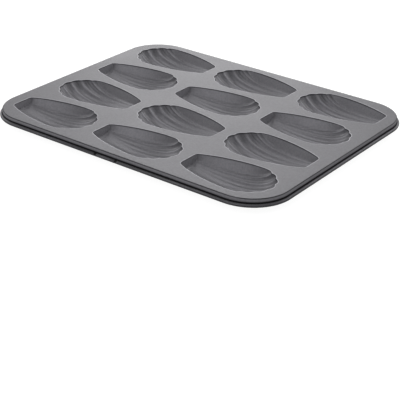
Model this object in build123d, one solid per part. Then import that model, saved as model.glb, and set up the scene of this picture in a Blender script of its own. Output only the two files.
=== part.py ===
from build123d import *
import os
from math import atan2, cos, radians, sin, sqrt, tan

# Madeleine pan pressed from one steel sheet: twelve fluted shell cups in three columns
# and four rows, with a skirt and a rolled rim closed over a reinforcing wire.
# Millimetres, +Z up. The origin is the middle of the pan on the surface it stands on,
# +X runs along the long side.

# Sheet and overall size
pan_length = 280.0
pan_width = 222.5
corner_radius = 35.0
sheet = 0.45

# Rim
rim_drop = 6.5
bend_setback = 0.85
roll_fold = 60.0
roll_folds = 5
roll_opening = 0.15
wire_diameter = 1.6
wire_clearance = 0.05
wire_sides = 6
wire_joint_gap = 0.3
notch_width = 2.0
notch_depth = 1.0
notch_spacing = 22.0

# Grid of shell cups: plate left around it and between the cups
columns = 3
rows = 4
end_margin = 14.45
side_margin = 10.0
end_web = 11.25
side_web = 6.7

# Shell cup
shell_depth = 12.5
wide_end_reach = 29.4
wall_angle = 55.0
hinge_width = 20.4
hinge_depth = 7.4
hinge_lean = 2.0

# Flutes
flutes = 7
flute_sag = 1.2
fan_angle = 68.6
fan_crowding_share = 0.27

# Shape of a fan line between the hinge and the rim. The bowl's cross-section widens
# from the hinge through the near ring and the far ring to the rim of the wide end.
hinge_angle = 62.0
hinge_square_share = 0.7
near_angle = 60.0
near_width_share = 0.767
near_run_share = 0.36
near_depth_share = 1.09
near_sag_share = 0.35
far_angle = 56.0
far_width_share = 0.948
far_run_share = 0.86
far_depth_share = 1.30
far_sag_share = 1.2
side_leave_share = 0.34
side_arrive_share = 0.16

# Sizes that follow from those above
top_face = shell_depth + sheet
shell_length = (pan_length - 2 * end_margin - (columns - 1) * end_web) / columns
shell_width = (pan_width - 2 * side_margin - (rows - 1) * side_web) / rows
waist_x = shell_length - wide_end_reach
wire_radius = wire_diameter / 2
bore_radius = wire_radius + wire_clearance
roll_radius = bore_radius + sheet
roll_x = corner_radius - roll_radius
roll_z = top_face - rim_drop + roll_radius
roll_peak = roll_z + roll_radius / cos(radians(roll_fold / 2))
skirt_x = roll_x - bore_radius
flat_length = pan_length - 2 * corner_radius
flat_width = pan_width - 2 * corner_radius


def between(a, b, share):
    """The value that lies a share of the way from a to b."""
    return a + (b - a) * share


def shell_form(skin):
    """One shell cup filled solid up to the plate's top face, grown outward by skin.

    The narrow end, called the hinge, is at x = 0 and the wide end points along +X.
    Fan lines run from the hinge wall to the rim, by turns in the trough of a flute and
    on the rib between two flutes, with a ruled strip from each line to the next. The
    outermost troughs run up into the plain side walls.
    """
    grow = skin / sin(radians(wall_angle))
    half = shell_width / 2 + grow
    reach = wide_end_reach + grow
    hinge_half = hinge_width / 2 + grow
    depth = shell_depth + skin

    def fan_line(place, sag):
        """Control points of a fan line. place is -1 to 1 across the fan."""
        spread = place * (1 + fan_crowding_share * (1 - place**2))
        fan = radians(fan_angle) * spread
        out = Vector(half * cos(fan), reach * sin(fan), 0).normalized()
        end = Vector(waist_x + reach * cos(fan), half * sin(fan), 0) + out * sag

        turn = radians(hinge_angle) * spread
        side = abs(sin(turn)) ** hinge_square_share * (1 if turn > 0 else -1)
        fall = cos(turn) ** hinge_square_share
        start = Vector(
            between(-grow, hinge_lean - skin, fall),
            hinge_half * side,
            -(hinge_depth + skin) * fall,
        )

        turn = radians(near_angle) * spread
        near = Vector(
            between(start.X, end.X, near_run_share),
            (near_width_share * shell_width / 2 + skin) * sin(turn),
            -depth * near_depth_share * cos(turn),
        )
        near += Vector(0, sin(turn), -cos(turn)) * sag * near_sag_share

        turn = radians(far_angle) * spread
        far = Vector(
            between(start.X, end.X, far_run_share),
            (far_width_share * shell_width / 2 + grow) * sin(fan),
            -depth * far_depth_share * cos(turn),
        )
        far += (out - Vector(0, 0, 1)).normalized() * sag * far_sag_share
        return [start, near, far, end], fan

    def side_rim(side, trough, fan):
        """Control points of the rim from a corner of the hinge to the outermost trough."""
        corner = Vector(-grow, side * hinge_half, 0)
        swell = 2 * atan2(half - hinge_half, waist_x)
        leave = Vector(cos(swell), side * sin(swell), 0)
        arrive = Vector(reach * abs(sin(fan)), -side * half * cos(fan), 0).normalized()
        run = trough[3] - corner
        leave *= run.length * side_leave_share
        arrive *= run.length * side_arrive_share
        return [corner, corner + leave, trough[3] - arrive, trough[3]]

    lines = []
    for k in range(1, 2 * flutes):
        sag = flute_sag if k % 2 else 0
        lines.append(fan_line(k / flutes - 1, sag))
    sides = [side_rim(-1, *lines[0]), side_rim(1, *lines[-1])]
    fan_points = [line for line, fan in lines]
    all_lines = [sides[0]] + fan_points + [sides[1]]
    strips = [Face.make_bezier_surface([a, b]) for a, b in zip(all_lines, all_lines[1:])]

    hinge_top = Edge.make_line(sides[0][0], sides[1][0])
    rim_edges = [Edge.make_line(a[3], b[3]) for a, b in zip(fan_points, fan_points[1:])]
    rim_edges += [Edge.make_bezier(*sides[0]), Edge.make_bezier(*sides[1]), hinge_top]
    foot_edges = [Edge.make_line(a[0], b[0]) for a, b in zip(all_lines, all_lines[1:])]
    lid = Face(Wire(rim_edges))
    hinge_wall = Face(Wire(foot_edges + [hinge_top]))
    filled = Solid(Shell(strips + [lid, hinge_wall]))

    # The lowest flutes are pressed level, so that the pan stands on flat lands
    below_lid = (Align.CENTER, Align.CENTER, Align.MAX)
    return filled & Box(4 * shell_length, 4 * shell_width, depth, align=below_lid)


def shell_places():
    """Where the cups lie. Neighbouring rows point in opposite directions."""
    for row in range(rows):
        for column in range(columns):
            x = (column - (columns - 1) / 2) * (shell_length + end_web)
            y = (row - (rows - 1) / 2) * (shell_width + side_web)
            turned = Pos(x, y, top_face) * Rot(Z=180 * (row % 2))
            yield turned * Pos(-(shell_length + flute_sag) / 2, 0, 0)


def roll_corners(radius):
    """Corners of the roll's flats at this distance from its centre, from skirt to lip."""
    reach = radius / cos(radians(roll_fold / 2))
    corners = []
    for k in range(roll_folds):
        turn = radians(180 + roll_fold * (k + 0.5))
        corners.append((roll_x + reach * cos(turn), roll_z + reach * sin(turn)))

    # The last flat runs on to the free lip, which stops just clear of the skirt
    last_x, last_z = corners[-1]
    lip_x = skirt_x + roll_opening
    drop = (last_x - lip_x) / tan(radians(-roll_fold * roll_folds))
    corners.append((lip_x, last_z - drop))
    return corners


def sheet_section():
    """Section of the sheet's edge: plate, bend, skirt and the roll, folded in flats."""
    outer_x = skirt_x
    inner_x = skirt_x - sheet
    lower_face = top_face - sheet
    inner_setback = bend_setback - sheet * (2 - sqrt(2))
    over = [(0, top_face), (outer_x - bend_setback, top_face), (outer_x, top_face - bend_setback)]
    under = [
        (inner_x, lower_face - inner_setback),
        (inner_x - inner_setback, lower_face),
        (0, lower_face),
    ]
    back = roll_corners(roll_radius)
    outline = over + roll_corners(bore_radius) + back[::-1] + under
    return make_face(Polyline([(x, 0, z) for x, z in outline], close=True))


def wire_section():
    """Section of the rim wire, a regular polygon that stays clear of the roll's bore."""
    at_roll = Plane(origin=(roll_x, 0, roll_z), x_dir=(0, 0, 1), z_dir=(0, -1, 0))
    return at_roll * RegularPolygon(wire_radius, wire_sides)


def around_rim(section):
    """The section carried round the pan: four sides, with a quarter turn at each corner."""
    pieces = []
    for quarter in range(4):
        reach, run = (flat_width, flat_length) if quarter % 2 else (flat_length, flat_width)
        turned = Rot(Z=90 * quarter)
        pieces.append(turned * Pos(reach / 2, -run / 2, 0) * extrude(section, run, dir=(0, 1, 0)))
        pieces.append(turned * Pos(reach / 2, run / 2, 0) * revolve(section, Axis.Z, 90))
    return pieces


def pan_sheet():
    """The pressed sheet: plate, skirt and roll, with the twelve cups and the wire notches."""
    plate = Pos(0, 0, top_face - sheet / 2) * Box(flat_length, flat_width, sheet)
    outer = shell_form(sheet)
    inner = shell_form(0)
    pan = plate.fuse(*around_rim(sheet_section()))
    pan = pan.fuse(*[place * outer for place in shell_places()])
    pan = pan.cut(*[place * inner for place in shell_places()])

    # Two small notches in the roll's lip, on either side of the wire's joint
    from_lip = (Align.CENTER, Align.MAX, Align.MAX)
    cutter = Box(notch_width, 2 * bore_radius, notch_depth, align=from_lip)
    lip_y = -flat_width / 2 - skirt_x - roll_opening / 2
    for side in (-1, 1):
        pan -= Pos(side * notch_spacing / 2, lip_y, roll_peak) * cutter
    return pan


def rim_wire():
    """The wire inside the roll, with its two ends butted at the middle of the front side."""
    ring = around_rim(wire_section())
    joint = Pos(0, -flat_width / 2 - roll_x, roll_z)
    gap = joint * Box(wire_joint_gap, wire_diameter * 2, wire_diameter * 2)
    return ring[0].fuse(*ring[1:]).cut(gap)


os.makedirs("parts", exist_ok=True)
for name, piece in {"pan_sheet": pan_sheet(), "rim_wire": rim_wire()}.items():
    piece.label = name
    export_step(piece, f"parts/{name}.step")
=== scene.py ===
import math

import bmesh
import bpy
import numpy as np
from mathutils import Matrix, Vector
from mathutils.geometry import delaunay_2d_cdt


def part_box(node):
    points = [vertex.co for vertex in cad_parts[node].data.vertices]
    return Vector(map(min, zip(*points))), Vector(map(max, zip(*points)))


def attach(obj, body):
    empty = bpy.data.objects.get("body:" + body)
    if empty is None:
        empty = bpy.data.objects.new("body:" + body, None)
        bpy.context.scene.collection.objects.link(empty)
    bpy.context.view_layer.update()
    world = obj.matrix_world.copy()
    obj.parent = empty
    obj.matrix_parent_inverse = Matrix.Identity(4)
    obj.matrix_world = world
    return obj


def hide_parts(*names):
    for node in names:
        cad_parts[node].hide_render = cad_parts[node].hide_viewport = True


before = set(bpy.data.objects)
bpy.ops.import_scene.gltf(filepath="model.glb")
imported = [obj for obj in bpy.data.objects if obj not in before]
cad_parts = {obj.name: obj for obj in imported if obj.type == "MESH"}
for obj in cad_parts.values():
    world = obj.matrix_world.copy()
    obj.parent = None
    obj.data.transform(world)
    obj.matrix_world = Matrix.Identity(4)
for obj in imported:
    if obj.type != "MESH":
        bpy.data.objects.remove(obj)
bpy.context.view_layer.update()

# Madeleine pan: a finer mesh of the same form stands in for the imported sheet, with round
# flutes, rounded edges, a round roll and a satin non-stick coating. Lengths are in millimetres
# until a mesh or the camera is made. The origin is the middle of the pan on the floor, +X runs
# along the long side and +Z is up.
MM = 0.001

# Overall size, read from the imported sheet and wire
sheet_low, sheet_high = (np.array(corner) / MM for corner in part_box("pan_sheet"))
wire_low, wire_high = (np.array(corner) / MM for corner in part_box("rim_wire"))
PAN_LENGTH, PAN_WIDTH, TOP_FACE = sheet_high - sheet_low
ROLL_Z = (wire_low[2] + wire_high[2]) / 2

# Sheet and rim. The roll's radius is trimmed a little, so that its thickness stays inside
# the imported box, and the last steps of the roll are left out in a notch.
SHEET = 0.45
CORNER_RADIUS = 35.0
BEND_RADIUS = 0.85
BORE_RADIUS = 0.85
ROLL_TRIM = 0.006
ROLL_TURN = 300.0
NOTCH_WIDTH = 2.4
NOTCH_PLACES = (-16.5, 4.1)
NOTCH_STEPS = 9

# Corners in plan, from the front right one anticlockwise
CORNER_SIDES = ((1, -1), (1, 1), (-1, 1), (-1, -1))

# Grid of cups
COLUMNS = 3
ROWS = 4
END_MARGIN = 14.45
SIDE_MARGIN = 10.0
END_WEB = 11.25
SIDE_WEB = 6.7

# Cup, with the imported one's fan lines. Only the two sags differ, to suit round flutes.
SHELL_LENGTH = (PAN_LENGTH - 2 * END_MARGIN - (COLUMNS - 1) * END_WEB) / COLUMNS
SHELL_WIDTH = (PAN_WIDTH - 2 * SIDE_MARGIN - (ROWS - 1) * SIDE_WEB) / ROWS
SHELL_DEPTH = TOP_FACE - SHEET
WIDE_END_REACH = 29.4
HINGE_WIDTH = 20.4
HINGE_DEPTH = 7.4
HINGE_LEAN = 2.0
FLUTES = 7
FLUTE_SAG = 1.2
FAN_ANGLE = 68.6
FAN_CROWDING = 0.27
HINGE_ANGLE = 62.0
HINGE_SQUARE = 0.7
NEAR_ANGLE = 60.0
NEAR_WIDTH = 0.767 * SHELL_WIDTH
NEAR_RUN = 0.36
NEAR_DEPTH = 1.09
NEAR_SAG = 0.4
FAR_ANGLE = 56.0
FAR_WIDTH = 0.948 * SHELL_WIDTH
FAR_RUN = 0.86
FAR_DEPTH = 1.30
FAR_SAG = 1.7
SIDE_LEAVE = 0.34
SIDE_ARRIVE = 0.16

# Rounding of the cup's edges
LIP_SETBACK = 0.4
LIP_CLEAR = 1.4
LIP_MITRE = 1.2
FLAT_RING = 0.5
FOOT_SETBACK = 2.0
FOOT_SHARE = 0.027
HINGE_ROUNDING = 2.4
CREST_ROUNDING = 0.05

# Painted light and shade on the coating: above 0 it is duller and darker, as painted shade,
# below 0 brighter, as painted light and highlights. Flutes are painted between two shares of a
# fan line's length, and the tone also scatters faintly from line to line. Groove heights are
# counted from the roll's centre.
# Cups painted lighter, as painted light
CUP_PAINTED_LIGHT = -0.16
# Hinge wall painted lighter still, as painted light
HINGE_PAINTED_LIGHT = -0.75
# Painted shade in the flutes' valleys
VALLEY_PAINTED_SHADE = 0.28
# Painted highlight on the flutes' crests, over a share of the flute
CREST_PAINTED_HIGHLIGHT = -0.65
CREST_SHARE = 0.2
FLUTE_RISE = (0.4, 0.9)
# A faint tone that scatters from line to line, with this step
LINE_TONE_SCATTER = 0.12
LINE_TONE_SCATTER_STEP = 1.7
# Painted highlight on the lips
LIP_PAINTED_HIGHLIGHT = -1.3
# Painted shade line just below a lip
EDGE_PAINTED_SHADE = 0.8
# Painted shade line along the bend
BEND_PAINTED_SHADE = 0.95
# Skirt painted lighter, as painted light, coming in with this power of the bend's angle
SKIRT_PAINTED_LIGHT = -1.4
SKIRT_ONSET = 6
# Painted shade in the groove between skirt and roll
GROOVE_PAINTED_SHADE = 1.0
# Bead of the roll painted darker, as painted shade
BEAD_PAINTED_SHADE = 0.25
GROOVE_HEIGHTS = (3.2, 2.6, 2.0)

# Coating and wire
COATING_COLOR = (0.056, 0.055, 0.06, 1)
COATING_SHEEN = (0.94, 0.925, 1.0, 1)
COATING_LEVEL = 0.6
COATING_IOR = 1.55
COATING_ROUGHNESS = (0.34, 0.46)
CLOUD_SCALE = 18.0
GRAIN_SCALE = 650.0
GRAIN_TONES = (0.7, 1.3)
GRAIN_BUMP = 0.05
GRAIN_HEIGHT = 0.0002
STEEL_COLORS = ((0.48, 0.48, 0.47, 1), (0.62, 0.62, 0.61, 1))
STEEL_ROUGHNESS = 0.32
STEEL_SCALE = 400.0
# Near black painted on the wire where the notches bare it, as shade
NOTCH_PAINTED_SHADE_COLOR = (0.02, 0.02, 0.02, 1)

# Floor and world
WHITE = (1, 1, 1, 1)
WORLD_LEVEL = 0.6
FLOOR_REACH = 6.0
FLOOR_COLOR = (0.2, 0.2, 0.2, 1)
FLOOR_ROUGHNESS = 0.9
FLOOR_GLOW = 0.93
FLOOR_GLOW_MIRRORED = 0.2

# Camera. Azimuths are counted in degrees from the front side, towards +X. The focal length
# is a share of the picture's width, both in pixels.
CAMERA_AZIMUTH = 36.64
CAMERA_ELEVATION = 27.59
CAMERA_ROLL = 1.17
CAMERA_DISTANCE = 808.9
CAMERA_AIM = (96.9, -127.1, TOP_FACE)
CAMERA_FOCAL_SHARE = 1152.2 / 400
CAMERA_CLIP = 0.01
SENSOR_WIDTH = 36.0

# Softboxes: azimuth from the camera's, elevation, size in metres and power in watts
LAMP_DISTANCE = 2.4
LAMPS = {
    "back": (180, 28, 1.4, 3),
    "back_low": (180, 10, 1.0, 6),
    "back_high": (180, 55, 1.4, 9),
    "back_left": (-135, 28, 1.4, 11),
    "back_right": (135, 28, 1.4, 13),
    "left": (-90, 30, 1.4, 3),
    "right": (90, 30, 1.4, 5),
    "front_left": (-45, 35, 1.4, 12),
    "overhead": (0, 90, 1.4, 8),
}

# Mesh steps, and the distances at which its points merge
LINE_STEPS = 34
FLUTE_STEPS = 8
WALL_STEPS = 6
LIP_STEPS = 4
FOOT_STEPS = 4
BEND_STEPS = 5
ROLL_STEPS = 25
CORNER_STEPS = 20
MERGE_DISTANCE = 2e-6
COLLAPSE_DISTANCE = 1e-6
PLATE_TOLERANCE = 1e-6


def unit(v):
    """The vector, brought to a length of 1."""
    return v / np.linalg.norm(v)


def bezier(points, t):
    """Points on a cubic curve, one row for each value of t."""
    t = np.asarray(t, float)[:, None]
    a, b, c, d = points
    return (1 - t) ** 3 * a + 3 * t * (1 - t) ** 2 * b + 3 * t**2 * (1 - t) * c + t**3 * d


def lip(wall, out):
    """The end of a wall column, whose last point is on the rim, rolled over onto the plate.

    The wall is cut back and a round lip leads to the flat plate along out, with one more
    flat point beyond it.
    """
    rim = wall[-1]
    steps = np.linalg.norm(np.diff(wall, axis=0), axis=1)
    room = steps.sum()
    setback = min(LIP_SETBACK, room / 2)
    run = np.concatenate([[0], np.cumsum(steps)])
    keep = [p for p, r in zip(wall, run) if r < room - LIP_CLEAR * setback]
    keep += [keep[-1]] * (len(wall) - 1 - len(keep))
    start = np.array([np.interp(room - setback, run, wall[:, k]) for k in range(3)])
    end = rim + out * LIP_SETBACK
    curve = []
    for share in np.linspace(0, 1, LIP_STEPS + 1):
        a = start + (rim - start) * share
        b = rim + (end - rim) * share
        curve.append(a + (b - a) * share)
    return np.array(keep + curve + [end + out * FLAT_RING])


def fan_line(place):
    """Control points of the line at this place of the fan, -1 to 1, and its way out."""
    ridge = abs(math.cos(math.pi * FLUTES * place / 2))
    sag = FLUTE_SAG * (math.hypot(ridge, CREST_ROUNDING) - CREST_ROUNDING)
    spread = place * (1 + FAN_CROWDING * (1 - place**2))
    half = SHELL_WIDTH / 2
    waist = SHELL_LENGTH - WIDE_END_REACH

    fan = math.radians(FAN_ANGLE) * spread
    out = unit(np.array([half * math.cos(fan), WIDE_END_REACH * math.sin(fan), 0]))
    end = np.array([waist + WIDE_END_REACH * math.cos(fan), half * math.sin(fan), 0]) + out * sag

    turn = math.radians(HINGE_ANGLE) * spread
    side = math.copysign(abs(math.sin(turn)) ** HINGE_SQUARE, turn)
    fall = math.cos(turn) ** HINGE_SQUARE
    start = np.array([HINGE_LEAN * fall, HINGE_WIDTH / 2 * side, -HINGE_DEPTH * fall])

    turn = math.radians(NEAR_ANGLE) * spread
    down = np.array([0, math.sin(turn), -math.cos(turn)])
    x = start[0] + (end[0] - start[0]) * NEAR_RUN
    depth = SHELL_DEPTH * NEAR_DEPTH * math.cos(turn)
    near = np.array([x, NEAR_WIDTH / 2 * math.sin(turn), -depth]) + down * sag * NEAR_SAG

    turn = math.radians(FAR_ANGLE) * spread
    x = start[0] + (end[0] - start[0]) * FAR_RUN
    depth = SHELL_DEPTH * FAR_DEPTH * math.cos(turn)
    far = np.array([x, FAR_WIDTH / 2 * math.sin(fan), -depth])
    far += unit(out - np.array([0, 0, 1])) * sag * FAR_SAG
    return np.array([start, near, far, end]), out, fan


def line_places():
    """Places along a fan line, closer together at its foot."""
    foot = np.linspace(0, FOOT_SHARE, FOOT_STEPS + 1)
    return np.concatenate([foot[:-1], np.linspace(FOOT_SHARE, 1, LINE_STEPS + 1 - FOOT_STEPS)])


def floor_line(points, top):
    """Points on a fan line, whose foot turns into the hinge wall with a round corner."""
    line = bezier(points, line_places())
    foot, start = points[0], line[FOOT_STEPS]
    wall = foot + unit(top - foot) * FOOT_SETBACK
    for k in range(FOOT_STEPS):
        share = k / FOOT_STEPS
        down = wall + (foot - wall) * share
        along = foot + (start - foot) * share
        line[k] = down + (along - down) * share
    return line


def side_swell():
    """Angle at which the side of the rim leaves the hinge."""
    return 2 * math.atan2((SHELL_WIDTH - HINGE_WIDTH) / 2, SHELL_LENGTH - WIDE_END_REACH)


def corners_rounded(points):
    """The points with the two corners of the hinge rounded in plan."""
    points = np.array(points)
    swell = side_swell()
    for side in (-1, 1):
        along_side = points[..., 0] / math.cos(swell)
        along_hinge = HINGE_WIDTH / 2 - side * points[..., 1] + along_side * math.sin(swell)
        u = HINGE_ROUNDING - along_hinge
        v = HINGE_ROUNDING - along_side
        inside = (u > 0) & (v > 0)
        pull = np.ones_like(u)
        pull[inside] = np.maximum(u, v)[inside] / np.hypot(u, v)[inside]
        along_hinge = HINGE_ROUNDING - u * pull
        along_side = HINGE_ROUNDING - v * pull
        x = along_side * math.cos(swell)
        y = side * (HINGE_WIDTH / 2 - along_hinge + along_side * math.sin(swell))
        points[..., 0] = np.where(inside, x, points[..., 0])
        points[..., 1] = np.where(inside, y, points[..., 1])
    return points


def side_rim(side, trough, fan):
    """Control points of the rim from a corner of the hinge to the outermost trough."""
    half = SHELL_WIDTH / 2
    corner = np.array([0, side * HINGE_WIDTH / 2, 0])
    leave = np.array([math.cos(side_swell()), side * math.sin(side_swell()), 0])
    arrive = np.array([WIDE_END_REACH * abs(math.sin(fan)), -side * half * math.cos(fan), 0])
    end = trough[3]
    run = np.linalg.norm(end - corner)
    leave = leave * run * SIDE_LEAVE
    arrive = unit(arrive) * run * SIDE_ARRIVE
    return np.array([corner, corner + leave, end - arrive, end])


def cup_patches():
    """The grids of points that make one cup, and the outline of its hole in the plate.

    Each grid comes with its painted light and shade and with whether its faces are turned over.
    """
    edge_place = 1 - 1 / FLUTES
    places = np.linspace(-edge_place, edge_place, (FLUTES - 1) * 2 * FLUTE_STEPS + 1)
    tops = [np.array([0, y, 0]) for y in np.linspace(-1, 1, len(places)) * HINGE_WIDTH / 2]
    lines = [fan_line(place) for place in places]
    bowl = np.array([floor_line(line[0], top) for line, top in zip(lines, tops)])
    fan = np.array([lip(column, line[1]) for column, line in zip(bowl, lines)])

    # Side walls, ruled from the outermost troughs up to the rim
    share = np.linspace(0, 1, WALL_STEPS + 1)[:, None]
    walls = []
    for side, j in ((-1, 0), (1, -1)):
        rim = bezier(side_rim(side, lines[j][0], lines[j][2]), line_places())
        tangent = np.gradient(rim, axis=0)
        rows = []
        for i in range(LINE_STEPS):
            out = unit(side * np.array([-tangent[i, 1], tangent[i, 0], 0]))
            if i == 0:
                out = unit(out + np.array([-1, 0, 0])) * LIP_MITRE
            rows.append(lip(bowl[j, i] + (rim[i] - bowl[j, i]) * share, out))
        last = fan[j, LINE_STEPS:]
        rows.append(np.concatenate([np.repeat(last[:1], WALL_STEPS, axis=0), last]))
        walls.append(np.array(rows))

    # Hinge wall, from the feet of the fan's lines up to its straight edge
    feet = bowl[:, 0]
    hinge = [lip(a + (b - a) * share, np.array([-1, 0, 0])) for a, b in zip(feet, tops)]
    hinge[0], hinge[-1] = walls[0][0], walls[1][0]
    hinge = np.array(hinge)
    fan, hinge = corners_rounded(fan), corners_rounded(hinge)
    walls = [corners_rounded(wall) for wall in walls]
    rims = [hinge[:-1, -1], walls[1][:-1, -1], fan[::-1, -1], walls[0][-2:0:-1, -1]]
    outline = np.concatenate(rims)
    patches = [fan, walls[0], walls[1], hinge]

    # Painted light and shade: cups painted lighter and the hinge wall lighter still, valleys of
    # the flutes painted with shade, crests and lips with painted highlights, and a painted shade
    # line below a lip; a faint tone also scatters from line to line
    painted_lights = [np.full(patch.shape[:2], CUP_PAINTED_LIGHT) for patch in patches]
    painted_lights[3] += HINGE_PAINTED_LIGHT
    ridge = np.abs(np.cos(math.pi * FLUTES * places / 2))
    flute_shading = VALLEY_PAINTED_SHADE * ridge**2 + CREST_PAINTED_HIGHLIGHT * np.exp(-((ridge / CREST_SHARE) ** 2))
    flute_shading += LINE_TONE_SCATTER * np.sin(LINE_TONE_SCATTER_STEP * np.arange(len(places)) ** 2)
    rise = np.interp(line_places(), FLUTE_RISE, (0, 1))
    rise = np.concatenate([rise, np.ones(fan.shape[1] - LINE_STEPS - 1)])
    painted_lights[0] += flute_shading[:, None] * rise
    painted_lights[0][0] = painted_lights[0][-1] = CUP_PAINTED_LIGHT
    for painted_light in painted_lights:
        painted_light[:, -LIP_STEPS - 2 : -LIP_STEPS] = EDGE_PAINTED_SHADE
        painted_light[:, -LIP_STEPS:-1] = LIP_PAINTED_HIGHLIGHT
        painted_light[:, -1] = 0
    flips = (False, True, False, True)
    return list(zip(patches, painted_lights, flips)), outline


class Builder:
    """Collects the points, painted light and shade, and faces of one mesh."""

    def __init__(self):
        self.points = []
        self.painted_lights = []
        self.faces = []

    def grid(self, rows, painted_lights, flip=False):
        """Adds a grid of points, its painted light and shade, and the faces between its points.
        """
        first = len(self.points)
        n, m = rows.shape[:2]
        self.points += [tuple(p) for p in rows.reshape(-1, 3)]
        self.painted_lights += list(np.broadcast_to(painted_lights, (n, m)).ravel())
        for i in range(n - 1):
            for j in range(m - 1):
                a = first + i * m + j
                quad = (a, a + m, a + m + 1, a + 1)
                self.faces.append(quad[::-1] if flip else quad)

    def mesh(self, name):
        """The mesh in metres, with its painted light and shade as an attribute of its points."""
        data = bpy.data.meshes.new(name)
        data.from_pydata([tuple(c * MM for c in p) for p in self.points], [], self.faces)
        painted_lights = data.attributes.new("painted_light", "FLOAT", "POINT")
        painted_lights.data.foreach_set("value", self.painted_lights)
        return data


def placed(points, column, row):
    """Points of a cup, moved to its place in the pan."""
    turn = -1 if row % 2 else 1
    moved = np.array(points, float)
    moved[..., 0] -= (SHELL_LENGTH + FLUTE_SAG) / 2
    moved[..., :2] *= turn
    moved[..., 0] += (column - (COLUMNS - 1) / 2) * (SHELL_LENGTH + END_WEB)
    moved[..., 1] += (row - (ROWS - 1) / 2) * (SHELL_WIDTH + SIDE_WEB)
    moved[..., 2] = np.maximum(moved[..., 2], -SHELL_DEPTH) + TOP_FACE
    return moved


def rim_section():
    """The sheet's face from plate to lip: distance from a corner's centre, height, painted
    light.
    """
    skirt = CORNER_RADIUS - 2 * BORE_RADIUS - SHEET
    bend = skirt - BEND_RADIUS
    points = [(bend - FLAT_RING, TOP_FACE, 0)]
    for angle in np.linspace(90, 0, BEND_STEPS + 1):
        a = math.radians(angle)
        height = TOP_FACE - BEND_RADIUS * (1 - math.sin(a))
        # Painted shade line across the bend, with the skirt's painted light coming in towards
        # its end
        painted_light = BEND_PAINTED_SHADE * math.sqrt(abs(math.sin(2 * a)))
        painted_light += SKIRT_PAINTED_LIGHT * math.cos(a) ** SKIRT_ONSET
        points.append((bend + BEND_RADIUS * math.cos(a), height, painted_light))
    # Skirt's painted light turning to the groove's painted shade above the roll
    for k, height in enumerate(GROOVE_HEIGHTS):
        painted_light = SKIRT_PAINTED_LIGHT + (GROOVE_PAINTED_SHADE - SKIRT_PAINTED_LIGHT) * k / (len(GROOVE_HEIGHTS) - 1)
        points.append((skirt, ROLL_Z + height, painted_light))
    roll_x = skirt + BORE_RADIUS
    reach = BORE_RADIUS - ROLL_TRIM
    for k in range(ROLL_STEPS + 1):
        a = math.radians(180 + ROLL_TURN * k / ROLL_STEPS)
        # Roll's bead painted darker as shade, its lip end darker still as the groove's shade
        painted_light = GROOVE_PAINTED_SHADE if k == ROLL_STEPS else BEAD_PAINTED_SHADE
        points.append((roll_x + reach * math.cos(a), ROLL_Z + reach * math.sin(a), painted_light))
    return points


def rim_path():
    """Stations round the rim: corner centre or side point, way out, and if a notch follows."""
    reach_x = PAN_LENGTH / 2 - CORNER_RADIUS
    reach_y = PAN_WIDTH / 2 - CORNER_RADIUS
    stations = []
    for quarter, (x, y) in enumerate(CORNER_SIDES):
        for k in range(CORNER_STEPS + 1):
            a = math.radians(90 * (quarter - 1 + k / CORNER_STEPS))
            stations.append(((x * reach_x, y * reach_y), (math.cos(a), math.sin(a)), False))
    for middle in NOTCH_PLACES:
        stations.append(((middle - NOTCH_WIDTH / 2, -reach_y), (0, -1), True))
        stations.append(((middle + NOTCH_WIDTH / 2, -reach_y), (0, -1), False))
    return stations


def within(point, loop):
    """Whether a flat point lies inside a loop."""
    hits = 0
    for a, b in zip(loop, loop[1:] + loop[:1]):
        if (a.y > point.y) != (b.y > point.y):
            hits += point.x < a.x + (b.x - a.x) * (point.y - a.y) / (b.y - a.y)
    return hits % 2 == 1


def sheet_mesh():
    """The whole sheet's upper face: cups, bend, skirt, the inside of the roll and plate."""
    build = Builder()
    patches, outline = cup_patches()
    loops = []
    for row in range(ROWS):
        for column in range(COLUMNS):
            for patch, painted_lights, flip in patches:
                build.grid(placed(patch, column, row), painted_lights, flip)
            loops.append([Vector(p) for p in placed(outline, column, row)])

    section = rim_section()
    stations = rim_path()
    ring = []
    for (x, y), (out_x, out_y), notch in stations:
        ring.append([(x + out_x * r, y + out_y * r, z) for r, z, painted_light in section])
    ring = np.array(ring)
    painted_lights = np.array([painted_light for r, z, painted_light in section])
    for k in range(len(stations)):
        pair = ring[[k, (k + 1) % len(stations)]]
        kept = len(section) - (NOTCH_STEPS if stations[k][2] else 0)
        build.grid(pair[:, :kept], painted_lights[:kept])
    loops.insert(0, [Vector(p) for p in ring[:, 0]])

    # The plate is the area inside the first loop and outside the others
    flat = [p.to_2d() for loop in loops for p in loop]
    owner = [k for k, loop in enumerate(loops) for p in loop]
    edges = []
    for loop in loops:
        begin = len(edges)
        count = len(loop)
        edges += [(begin + k, begin + (k + 1) % count) for k in range(count)]
    made = delaunay_2d_cdt(flat, edges, [], 1, PLATE_TOLERANCE)
    corners, triangles, sources = made[0], made[2], made[3]
    first = len(build.points)
    build.points += [(x, y, TOP_FACE) for x, y in corners]
    build.painted_lights += [0] * len(corners)
    for triangle in triangles:
        owners = {owner[sources[k][0]] for k in triangle}
        middle = sum((corners[k] for k in triangle), Vector((0, 0))) / 3
        in_cup = len(owners) == 1 and 0 not in owners and within(middle, loops[min(owners)])
        if not in_cup:
            build.faces.append(tuple(first + k for k in triangle))
    return build.mesh("pan_sheet_fine")


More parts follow.
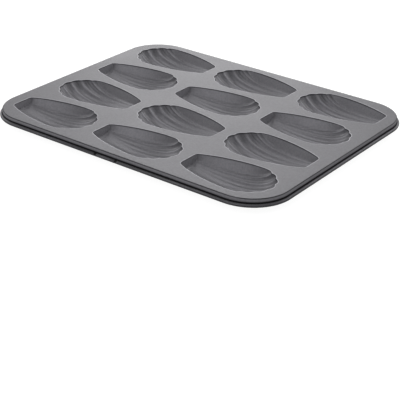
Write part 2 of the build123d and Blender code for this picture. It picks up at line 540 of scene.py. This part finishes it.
def merged(data):
    """Joins the patches, drops collapsed faces and turns the whole face upward."""
    work = bmesh.new()
    work.from_mesh(data)
    bmesh.ops.remove_doubles(work, verts=work.verts, dist=MERGE_DISTANCE)
    bmesh.ops.dissolve_degenerate(work, edges=work.edges, dist=COLLAPSE_DISTANCE)
    bmesh.ops.recalc_face_normals(work, faces=work.faces)
    if sum(f.normal.z * f.calc_area() for f in work.faces) < 0:
        bmesh.ops.reverse_faces(work, faces=work.faces)
    work.to_mesh(data)
    work.free()
    for polygon in data.polygons:
        polygon.use_smooth = True
    return data


def node(tree, kind, **values):
    """A new node, with these values on its sockets or as its settings."""
    made = tree.nodes.new(kind)
    for name, value in values.items():
        if name in made.inputs:
            made.inputs[name].default_value = value
        else:
            setattr(made, name, value)
    return made


def material(name):
    """A new material, its node tree and its shader."""
    mat = bpy.data.materials.new(name)
    mat.use_nodes = True
    return mat, mat.node_tree, mat.node_tree.nodes["Principled BSDF"]


def math_node(tree, operation, a, b):
    """One operation on two inputs, each a number or another node's output."""
    made = node(tree, "ShaderNodeMath", operation=operation)
    for socket, value in zip(made.inputs, (a, b)):
        if isinstance(value, bpy.types.NodeSocket):
            tree.links.new(value, socket)
        else:
            socket.default_value = value
    return made.outputs[0]


def spread(tree, value, limits):
    """A texture's value, spread between two limits."""
    made = node(tree, "ShaderNodeMapRange")
    made.inputs["To Min"].default_value, made.inputs["To Max"].default_value = limits
    tree.links.new(value, made.inputs["Value"])
    return made.outputs["Result"]


def coating():
    """Satin dark grey non-stick coating with a fine grain, faint unevenness and painted light.
    """
    mat, tree, shader = material("nonstick_coating")
    shader.inputs["IOR"].default_value = COATING_IOR
    shader.inputs["Specular Tint"].default_value = COATING_SHEEN
    place = node(tree, "ShaderNodeTexCoord")
    grain = node(tree, "ShaderNodeTexNoise", Scale=GRAIN_SCALE, Detail=2.0, Roughness=0.6)
    cloud = node(tree, "ShaderNodeTexNoise", Scale=CLOUD_SCALE, Detail=3.0, Roughness=0.5)
    for texture in (grain, cloud):
        tree.links.new(place.outputs["Object"], texture.inputs["Vector"])

    # The mesh's painted light and shade and the grain dim or lift both the colour and the sheen
    painted_light = node(tree, "ShaderNodeAttribute", attribute_name="painted_light")
    plain = math_node(tree, "SUBTRACT", 1, painted_light.outputs["Fac"])
    grainy = spread(tree, grain.outputs["Fac"], GRAIN_TONES)
    shine = math_node(tree, "MULTIPLY", grainy, plain)
    tint = node(tree, "ShaderNodeMix", data_type="RGBA", blend_type="MULTIPLY")
    tint.inputs["Factor"].default_value = 1.0
    tint.inputs["A"].default_value = COATING_COLOR
    tree.links.new(shine, tint.inputs["B"])
    tree.links.new(tint.outputs["Result"], shader.inputs["Base Color"])
    level = math_node(tree, "MULTIPLY", shine, COATING_LEVEL)
    tree.links.new(level, shader.inputs["Specular IOR Level"])

    rough = spread(tree, cloud.outputs["Fac"], COATING_ROUGHNESS)
    tree.links.new(rough, shader.inputs["Roughness"])
    bump = node(tree, "ShaderNodeBump", Strength=GRAIN_BUMP, Distance=GRAIN_HEIGHT)
    tree.links.new(grain.outputs["Fac"], bump.inputs["Height"])
    tree.links.new(bump.outputs["Normal"], shader.inputs["Normal"])
    return mat


def wire_steel():
    """Drawn bright steel of the rim wire, painted near black as shade where the notches bare it.
    """
    mat, tree, shader = material("steel_wire")
    shader.inputs["Metallic"].default_value = 1.0
    shader.inputs["Roughness"].default_value = STEEL_ROUGHNESS
    place = node(tree, "ShaderNodeTexCoord")
    draw = node(tree, "ShaderNodeTexNoise", Scale=STEEL_SCALE, Detail=2.0)
    tree.links.new(place.outputs["Object"], draw.inputs["Vector"])
    steel = node(tree, "ShaderNodeMix", data_type="RGBA")
    steel.inputs["A"].default_value, steel.inputs["B"].default_value = STEEL_COLORS
    tree.links.new(draw.outputs["Fac"], steel.inputs["Factor"])

    axes = node(tree, "ShaderNodeSeparateXYZ")
    tree.links.new(place.outputs["Object"], axes.inputs[0])
    bare = []
    for middle in NOTCH_PLACES:
        spot = node(tree, "ShaderNodeMath", operation="COMPARE")
        tree.links.new(axes.outputs["X"], spot.inputs[0])
        spot.inputs[1].default_value = middle * MM
        spot.inputs[2].default_value = NOTCH_WIDTH * MM
        bare.append(spot.outputs[0])
    # Near black painted over the steel at the notches, as shade
    notch_shade = node(tree, "ShaderNodeMix", data_type="RGBA")
    notch_shade.inputs["B"].default_value = NOTCH_PAINTED_SHADE_COLOR
    tree.links.new(math_node(tree, "ADD", *bare), notch_shade.inputs["Factor"])
    tree.links.new(steel.outputs["Result"], notch_shade.inputs["A"])
    tree.links.new(notch_shade.outputs["Result"], shader.inputs["Base Color"])
    return mat


def add_pan():
    """The fine sheet in place of the CAD one, and steel on the wire."""
    data = merged(sheet_mesh())
    pan = bpy.data.objects.new("pan_sheet_fine", data)
    bpy.context.collection.objects.link(pan)
    thick = pan.modifiers.new("sheet", "SOLIDIFY")
    thick.thickness = SHEET * MM
    thick.offset = -1
    thick.use_even_offset = True
    thick.use_quality_normals = True
    data.materials.append(coating())
    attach(pan, "root")
    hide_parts("pan_sheet")
    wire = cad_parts["rim_wire"]
    wire.data.materials.clear()
    wire.data.materials.append(wire_steel())


def add_floor():
    """White surface that the pan stands on. It shows white and keeps the pan's shadow."""
    data = bpy.data.meshes.new("floor")
    corners = [(x * FLOOR_REACH, y * FLOOR_REACH, 0) for x, y in CORNER_SIDES]
    data.from_pydata(corners, [], [(0, 1, 2, 3)])
    floor = bpy.data.objects.new("floor", data)
    bpy.context.collection.objects.link(floor)
    mat, tree, shader = material("floor_white")
    shader.inputs["Base Color"].default_value = FLOOR_COLOR
    shader.inputs["Roughness"].default_value = FLOOR_ROUGHNESS
    shader.inputs["Specular IOR Level"].default_value = 0.0

    # A glow that only the camera and mirroring surfaces see, and that lights nothing else
    rays = node(tree, "ShaderNodeLightPath").outputs
    seen = math_node(tree, "MULTIPLY", rays["Is Camera Ray"], FLOOR_GLOW)
    mirrored = math_node(tree, "MULTIPLY", rays["Is Glossy Ray"], FLOOR_GLOW_MIRRORED)
    glow = node(tree, "ShaderNodeEmission")
    tree.links.new(math_node(tree, "ADD", mirrored, seen), glow.inputs["Strength"])
    both = node(tree, "ShaderNodeAddShader")
    tree.links.new(shader.outputs[0], both.inputs[0])
    tree.links.new(glow.outputs[0], both.inputs[1])
    tree.links.new(both.outputs[0], tree.nodes["Material Output"].inputs["Surface"])
    data.materials.append(mat)


def direction(azimuth, elevation):
    """The way from the pan to a point at these angles in degrees."""
    around, up = math.radians(azimuth), math.radians(elevation)
    flat = Vector((math.sin(around), -math.cos(around), 0)) * math.cos(up)
    return flat + Vector((0, 0, math.sin(up)))


def add_light(name, azimuth, elevation, size, power):
    """A round softbox, at an azimuth that is counted from the camera's to the right."""
    data = bpy.data.lights.new(name, "AREA")
    data.shape = "DISK"
    data.size = size
    data.energy = power
    lamp = bpy.data.objects.new(name, data)
    way = direction(CAMERA_AZIMUTH + azimuth, elevation)
    lamp.location = way * LAMP_DISTANCE
    lamp.rotation_euler = way.to_track_quat("Z", "Y").to_euler()
    bpy.context.collection.objects.link(lamp)


def add_world():
    """Even light from all round, which the camera sees as white."""
    world = bpy.data.worlds.new("studio")
    bpy.context.scene.world = world
    world.use_nodes = True
    background = world.node_tree.nodes["Background"]
    background.inputs["Color"].default_value = WHITE
    background.inputs["Strength"].default_value = WORLD_LEVEL
    tree = world.node_tree
    rays = node(tree, "ShaderNodeLightPath")
    white = node(tree, "ShaderNodeBackground")
    white.inputs["Color"].default_value = WHITE
    mix = node(tree, "ShaderNodeMixShader")
    tree.links.new(rays.outputs["Is Camera Ray"], mix.inputs[0])
    tree.links.new(background.outputs[0], mix.inputs[1])
    tree.links.new(white.outputs[0], mix.inputs[2])
    tree.links.new(mix.outputs[0], tree.nodes["World Output"].inputs["Surface"])


def add_camera():
    """The photo's viewpoint, from the front right and above.

    The pan fills the upper half of the photo, so the camera aims at a point in front of it.
    """
    roll = math.radians(CAMERA_ROLL)
    back = direction(CAMERA_AZIMUTH, CAMERA_ELEVATION)
    right = direction(CAMERA_AZIMUTH + 90, 0)
    up = back.cross(right)
    turned = Matrix.Rotation(roll, 3, back)
    right, up = turned @ right, turned @ up
    data = bpy.data.cameras.new("camera")
    data.sensor_width = SENSOR_WIDTH
    data.lens = SENSOR_WIDTH * CAMERA_FOCAL_SHARE
    data.clip_start = CAMERA_CLIP
    camera = bpy.data.objects.new("camera", data)
    turn = Matrix((right, up, back)).transposed().to_4x4()
    place = (Vector(CAMERA_AIM) + back * CAMERA_DISTANCE) * MM
    camera.matrix_world = Matrix.Translation(place) @ turn
    bpy.context.collection.objects.link(camera)
    bpy.context.scene.camera = camera


add_pan()
add_floor()
add_world()
for lamp_name, values in LAMPS.items():
    add_light(lamp_name, *values)
add_camera()
bpy.context.scene.view_settings.view_transform = "Standard"
